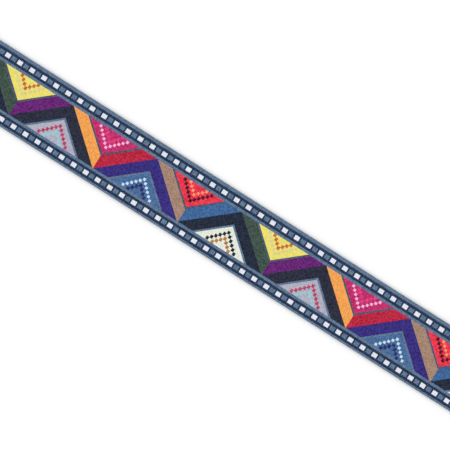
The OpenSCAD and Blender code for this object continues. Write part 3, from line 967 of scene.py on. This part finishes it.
def webbing_piece(name, path, thickness, webbing, slot, replaced):
    """Strip of herringbone webbing whose faces dip between the columns as the eighth power of a cosine."""

    def relief(along, across, outward):
        return -outward * webbing.groove * np.cos(math.pi * across / webbing.column_w) ** 8

    face_y = face_places(thickness, WEBBING_FACE_STEPS)
    points, faces, weave = strip(path, section(0, thickness, face_y, face_y), relief)
    return make_piece(name, points, faces, finish(polypropylene_webbing, webbing), slot, replaced, weave)


class STRAP_OT_backing(bpy.types.Operator):
    """Lay the backing webbing under the band"""
    bl_idname = "strap.backing"
    bl_label = "Backing Webbing"

    def execute(self, context):
        scene = context.scene
        path = walk(strap_path(scene.strap_sewing, scene.strap_tab), WEBBING_STEP)
        backing = webbing_piece(
            "backing_strip", path, BACKING_T, scene.strap_webbing, "backing_webbing",
            ["backing_webbing", "backing_ring_loop"])
        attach(backing, "strap")
        return {"FINISHED"}


class STRAP_OT_tail(bpy.types.Operator):
    """Lay the tail webbing: round the ring, back to the slider and up to the tail tab"""
    bl_idname = "strap.tail"
    bl_label = "Tail Webbing"

    def execute(self, context):
        scene = context.scene
        sewing, tab = scene.strap_sewing, scene.strap_tab
        fold_x, lower_x, edge_x = LOWER_LOW.x, LOWER_HIGH.x, TAIL_LOW.x
        top_z = BAR_Z + RING_HOLD_R
        flap_x = SLIDER_X - sewing.eye_l - sewing.sewn_l
        down_x = edge_x - sewing.lead_l
        fold = np.vstack([
            [(fold_x, FOLD_Z)],
            arc((FAR_BAR_X, BAR_Z), RING_HOLD_R, -math.pi / 2, -3 * math.pi / 2, BEND_POINTS),
            [(fold_x, top_z)]])
        lower = np.array([(lower_x, FOLD_Z), (fold_x, FOLD_Z)])
        loop = sewn_loop(SLIDER_X, CENTER_Z, CENTER_HOLD_R, flap_x, lower_x, sewing)
        upper = np.vstack([
            slope((fold_x, top_z), (fold_x + sewing.ramp_l, RUN_Z)),
            slope((down_x - sewing.ramp_l, RUN_Z), (down_x, LEAF_T)),
            [(edge_x + tab.overlap, LEAF_T)]])
        under_upper = ["ring_fold_webbing", "slider_loop_webbing"]
        runs = {
            "ring_fold_webbing": (fold, "tail_web_ring_fold", "folded", ["wire_ring"]),
            "lower_run_webbing": (lower, "tail_web_lower_run", "laid", []),
            "slider_loop_webbing": (loop, "tail_web_slider_loop", "folded", ["slider_bar"]),
            "upper_run_webbing": (upper, "tail_web_upper_run", "laid", under_upper),
        }
        made = {}
        for name, (points, solid, held, rests_on) in runs.items():
            path = walk(points, WEBBING_STEP)
            made[name] = webbing_piece(name, path, TAIL_T, scene.strap_webbing, "tail_webbing", [solid])
        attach(made["ring_fold_webbing"], "tail_loop")
        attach(made["slider_loop_webbing"], "slider")
        lower_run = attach(made["lower_run_webbing"], "tail_loop")
        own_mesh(lower_run)
        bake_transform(made["upper_run_webbing"])
        return {"FINISHED"}


def tab_turn(tab):
    """Place of the shoulder's middle along a tab, and the angle of the normal to the straight side between
    the tip's circle and the shoulder's."""
    margin = (TAB_W - STRAP_W) / 2
    shoulder_x = TAB_L - tab.overlap - margin + tab.corner_r
    gap = (shoulder_x - tab.tip_r, TAB_W / 2 - tab.corner_r)
    return shoulder_x, math.atan2(gap[1], gap[0]) + math.acos((tab.tip_r - tab.corner_r) / math.hypot(*gap))


def tab_outline(tab):
    """Outline of a tab with its tip at the origin: arcs at the four corners and at the tip, joined by
    straight sides, from the middle of the strap's end round to the left."""
    shoulder_x, turn = tab_turn(tab)
    end_x, corner_y = TAB_L - tab.corner_r, TAB_W / 2 - tab.corner_r
    quarter = math.pi / 2
    return even_loop(np.vstack([
        [(TAB_L, 0)],
        arc((end_x, corner_y), tab.corner_r, 0, quarter, CORNER_POINTS),
        arc((shoulder_x, corner_y), tab.corner_r, quarter, turn, SHOULDER_POINTS),
        arc((tab.tip_r, 0), tab.tip_r, turn, math.tau - turn, TIP_POINTS),
        arc((shoulder_x, -corner_y), tab.corner_r, math.tau - turn, 3 * quarter, SHOULDER_POINTS),
        arc((end_x, -corner_y), tab.corner_r, 3 * quarter, 4 * quarter, CORNER_POINTS)]), LEAF_POINTS)


def keyhole(tab):
    """Outline of the button hole and its slit, from the far end of the slit round to the left: the slit's
    round end, a straight side, the hole and the other side."""
    half, hole_r, end_r = tab.slit_w / 2, tab.hole_d / 2, tab.slit_end_d / 2
    end_x = tab.hole_inset + tab.slit_l
    at_end = math.pi - math.asin(half / end_r)
    at_hole = math.asin(half / hole_r)
    return even_loop(np.vstack([
        arc((end_x, 0), end_r, 0, at_end, SLIT_END_POINTS),
        arc((tab.hole_inset, 0), hole_r, at_hole, math.tau - at_hole, HOLE_POINTS),
        arc((end_x, 0), end_r, math.tau - at_end, math.tau, SLIT_END_POINTS)[:-1]]), LEAF_POINTS)


def seam_box(tab, sewing):
    """Near end, far end and half width of the box of stitches that holds the strap's end."""
    inset = sewing.leather_inset
    return TAB_L - tab.overlap + inset, TAB_L - inset, STRAP_W / 2 - inset


def tip_seam(tab, sewing):
    """Radius of the row of stitches round the tip, the turn at which it goes over into its straight sides,
    and where these end."""
    last_x = TAB_L - tab.overlap - tab.step_l - sewing.leather_inset
    return tab.tip_r - sewing.leather_inset, tab_turn(tab)[1], last_x


def seam_pull(x, y, tab, sewing):
    """How strongly the seams draw the leather in, from 0 to 1: a bell curve of the distance from the box of
    stitches or from the row round the tip, whichever is nearer."""
    start, end, half_w = seam_box(tab, sewing)
    box = np.abs(np.maximum(np.abs(x - (start + end) / 2) - (end - start) / 2, np.abs(y) - half_w))
    radius, turn, last_x = tip_seam(tab, sewing)
    from_tip = x - tab.tip_r
    round_tip = np.arctan2(np.abs(y), from_tip) > turn
    outwards = np.where(
        round_tip, np.hypot(from_tip, y), from_tip * math.cos(turn) + np.abs(y) * math.sin(turn))
    row = np.maximum(np.abs(outwards - radius), x - last_x)
    return np.exp(-(np.minimum(box, row) / sewing.thread_w) ** 2)


class STRAP_OT_tabs(bpy.types.Operator):
    """Cut and sew the leather tabs: a back leaf and a stepped front leaf at each end"""
    bl_idname = "strap.tabs"
    bl_label = "Leather Tabs"

    def execute(self, context):
        scene = context.scene
        tab, sewing = scene.strap_tab, scene.strap_sewing
        leather, thread = finish(grained_leather, tab), finish(bonded_nylon_thread, sewing)
        hole, outline = keyhole(tab), tab_outline(tab)
        flat_l = TAB_L - tab.overlap - tab.step_l
        radius, turn, last_x = tip_seam(tab, sewing)
        start = np.array((tab.tip_r + radius * math.cos(turn), radius * math.sin(turn)))
        way = np.array((math.sin(turn), -math.cos(turn)))
        end = start + way * (last_x - start[0]) / way[0]
        tip_z = 2 * LEAF_T - tab.seam_depth
        tip_rows = np.vstack([
            stitch_line(start, end, tip_z, sewing),
            stitch_line(start * (1, -1), end * (1, -1), tip_z, sewing),
            stitch_arc(tab.tip_r, radius, turn, math.tau - turn, tip_z, sewing)])

        def drawn(x, y):
            return tab.seam_depth * seam_pull(x, y, tab, sewing)

        for which, tip_x, ahead, core_t, body in (
                ("head", HEAD_LOW.x, 1, STRAP_T, "strap"), ("tail", TAIL_HIGH.x, -1, TAIL_T, "tail_end")):

            def lifted(x, y):
                return LEAF_T + core_t * smooth((x - flat_l) / tab.step_l)

            def top(x, y):
                return lifted(x, y) + LEAF_T - drawn(x, y)

            def put(name, solid, material, slot, points, faces, edge=None):
                placed = points * (ahead, 1, 1) + (tip_x, 0, 0)
                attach(make_piece(name, placed, faces, material, slot, [solid], edge), body)

            leaves = {"back": (drawn, lambda x, y: LEAF_T), "front": (lifted, top)}
            for leaf, levels in leaves.items():
                put(f"{which}_{leaf}_leather", f"{which}_tab_{leaf}_leaf", leather, "leather",
                    *slab(hole, outline, *levels, tab.edge_r, LEAF_STEPS))
            box_rows = stitch_box(*seam_box(tab, sewing), tip_z + core_t, sewing)
            for seam, rows in {"box": box_rows, "tip": tip_rows}.items():
                put(f"{which}_{seam}_thread", f"{which}_tab_{seam}_seam", thread, "thread",
                    *stitches(sewn_through(rows, tab.seam_depth), sewing))
        return {"FINISHED"}


class STRAP_OT_seams(bpy.types.Operator):
    """Sew the band's edges and the two folds"""
    bl_idname = "strap.seams"
    bl_label = "Seams"

    def execute(self, context):
        sewing = context.scene.strap_sewing
        pitch = sewing.stitch_l + sewing.stitch_gap
        first_x = HEAD_HIGH.x + sewing.lead_l + sewing.ramp_l + pitch
        flap = sewing.eye_l + sewing.sewn_l
        last_x = RING_X - flap - sewing.ramp_l - sewing.lead_l - pitch
        edge_y = STRAP_W / 2 - sewing.web_inset
        ply_z = FOLD_Z + sewing.ply_gap
        inset = sewing.leather_inset

        def fold_box(bar_x, thickness):
            box = cross_box(bar_x - flap + inset, bar_x - sewing.eye_l - inset, ply_z + thickness, sewing)
            return sewn_through(box, FOLD_Z - thickness + sewing.sunk)

        def edge_row(y):
            return sewn_through(stitch_line((first_x, y), (last_x, y), STRAP_T, sewing), sewing.sunk)

        rows = {
            "edge_thread_left": (edge_row(edge_y), "band_edge_stitches_left", "strap"),
            "edge_thread_right": (edge_row(-edge_y), "band_edge_stitches_right", "strap"),
            "ring_loop_thread": (fold_box(RING_X, STRAP_T), "ring_loop_stitches", "strap"),
            "slider_loop_thread": (fold_box(SLIDER_X, TAIL_T), "slider_loop_stitches", "slider"),
        }
        for name, (places, solid, body) in rows.items():
            thread = make_piece(
                name, *stitches(places, sewing), finish(bonded_nylon_thread, sewing), "thread", [solid])
            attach(thread, body)
        return {"FINISHED"}


class STRAP_OT_ring(bpy.types.Operator):
    """Bend the wire ring, with the bead of its weld in the middle of one side"""
    bl_idname = "strap.ring"
    bl_label = "Wire Ring"

    def execute(self, context):
        metal = context.scene.strap_metal
        half_x, half_y = (RING_HIGH.x - RING_LOW.x) / 2 - WIRE_R, RING_HIGH.y - WIRE_R
        x, y = even_loop(rounded_rectangle(half_x, half_y, half_y - STRAP_W / 2), RING_POINTS).T
        path = np.column_stack([x + (RING_LOW.x + RING_HIGH.x) / 2, y, np.full(len(x), BAR_Z)])
        from_weld = np.hypot(x, y - half_y)
        radius = WIRE_R + metal.weld_h * np.exp(-(from_weld / (WELD_SPREAD * WIRE_R)) ** 2)
        points, faces = tube(path, (0, 0, 1), radius, closed=True)
        ring = make_piece("wire_ring", points, faces, finish(nickel_plated_steel, metal), "nickel", ["ring"])
        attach(ring, "ring")
        return {"FINISHED"}


class STRAP_OT_slider(bpy.types.Operator):
    """Stamp the slider's plate and bend the dropped bar under it"""
    bl_idname = "strap.slider"
    bl_label = "Slider"

    def execute(self, context):
        metal = context.scene.strap_metal
        nickel = finish(nickel_plated_steel, metal)
        half_x, half_y = (PLATE_HIGH.x - PLATE_LOW.x) / 2, PLATE_HIGH.y
        window, outline = (
            rounded_rectangle(half_x - rail, half_y - rail, radius, PLATE_SIDE, PLATE_CORNER) + (SLIDER_X, 0)
            for rail, radius in ((metal.rail_w, metal.window_r), (0, metal.plate_r)))
        points, faces, _ = slab(
            window, outline, lambda x, y: PLATE_LOW.z, lambda x, y: PLATE_HIGH.z, metal.plate_edge,
            PLATE_STEPS)
        plate = make_piece("slider_frame", points, faces, nickel, "nickel", ["slider_plate"])
        post_y = half_y - metal.rail_w / 2
        bend_y, bend_z = post_y - metal.bend_r, CENTER_Z + metal.bend_r
        bent = np.vstack([
            [(-post_y, PLATE_LOW.z)],
            arc((-bend_y, bend_z), metal.bend_r, math.pi, 3 * math.pi / 2, BAR_BEND),
            arc((bend_y, bend_z), metal.bend_r, -math.pi / 2, 0, BAR_BEND),
            [(post_y, PLATE_LOW.z)]])
        _, place, _ = walk(bent, BAR_STEP)
        path = np.column_stack([np.full(len(place), SLIDER_X), place])
        points, faces = tube(path, (1, 0, 0), CENTER_R, closed=False)
        bar = make_piece("slider_bar", points, faces, nickel, "nickel", ["slider_center_bar"])
        for piece in (plate, bar):
            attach(piece, "slider")
        return {"FINISHED"}


class STRAP_OT_stage(bpy.types.Operator):
    """Set up the floor, the light and the camera that looks straight down on the band"""
    bl_idname = "strap.stage"
    bl_label = "Stage"

    def execute(self, context):
        scene = context.scene
        stage = scene.strap_stage
        scene.view_settings.view_transform = "Standard"

        reach = stage.floor_w / 2
        floor_z = scene.strap_sewing.sunk - scene.strap_sewing.thread_h
        corners = [(x * reach, y * reach, floor_z) for x, y in ((-1, -1), (1, -1), (1, 1), (-1, 1))]
        mesh = bpy.data.meshes.new("floor")
        mesh.from_pydata(corners, [], [(0, 1, 2, 3)])
        mesh.materials.append(finish(studio_paper, stage))
        floor = bpy.data.objects.new("floor", mesh)
        scene.collection.objects.link(floor)

        world = bpy.data.worlds.new("studio")
        world.use_nodes = True
        world.node_tree.nodes.clear()
        add = partial(add_node, world.node_tree)
        strength = add("MapRange", seen_rays(add), 0, 1, stage.sky, 1)
        add("OutputWorld", add("Background", WHITE, strength))
        scene.world = world

        for side in (-1, 1):
            light = bpy.data.lights.new("lamp", "SUN")
            light.energy = stage.lamp
            light.angle = stage.lamp_size
            lamp = bpy.data.objects.new("lamp", light)
            lamp.rotation_euler = (side * stage.lamp_tilt, 0, 0)
            scene.collection.objects.link(lamp)

        camera_data = bpy.data.cameras.new("camera")
        camera_data.lens = stage.lens
        camera_data.sensor_width = FILM_W
        camera_data.clip_end = FAR_CLIP
        camera = bpy.data.objects.new("camera", camera_data)
        distance = stage.view_w * stage.lens / FILM_W
        camera.location = (HEAD_HIGH.x + stage.view_x, stage.view_y, STRAP_T + distance)
        camera.rotation_euler = (0, 0, stage.turn)
        scene.collection.objects.link(camera)
        scene.camera = camera
        return {"FINISHED"}


class STRAP_PT_sidebar(bpy.types.Panel):
    """Lists the strap's pieces"""
    bl_idname = "STRAP_PT_sidebar"
    bl_label = "Guitar Strap"
    bl_space_type = "VIEW_3D"
    bl_region_type = "UI"
    bl_category = "Strap"

    def draw(self, context):
        for operator in OPERATORS:
            self.layout.operator(operator.bl_idname)


GROUPS = {
    "strap_sewing": StrapSewing,
    "strap_tab": StrapTab,
    "strap_pattern": StrapPattern,
    "strap_metal": StrapMetal,
    "strap_webbing": StrapWebbing,
    "strap_stage": StrapStage,
}
OPERATORS = [
    STRAP_OT_stage, STRAP_OT_band, STRAP_OT_backing, STRAP_OT_seams, STRAP_OT_tabs, STRAP_OT_ring,
    STRAP_OT_slider, STRAP_OT_tail,
]


def register():
    for kind in [*GROUPS.values(), *OPERATORS, STRAP_PT_sidebar]:
        bpy.utils.register_class(kind)
    for name, group in GROUPS.items():
        setattr(bpy.types.Scene, name, bpy.props.PointerProperty(type=group))


def unregister():
    for name in GROUPS:
        delattr(bpy.types.Scene, name)
    for kind in [STRAP_PT_sidebar, *reversed(OPERATORS), *reversed(GROUPS.values())]:
        bpy.utils.unregister_class(kind)


def main():
    """Builds the whole strap."""
    register()
    bpy.ops.strap.stage()
    bpy.ops.strap.band()
    bpy.ops.strap.backing()
    bpy.ops.strap.seams()
    bpy.ops.strap.tabs()
    bpy.ops.strap.ring()
    bpy.ops.strap.slider()
    bpy.ops.strap.tail()


if __name__ == "__main__":
    main()
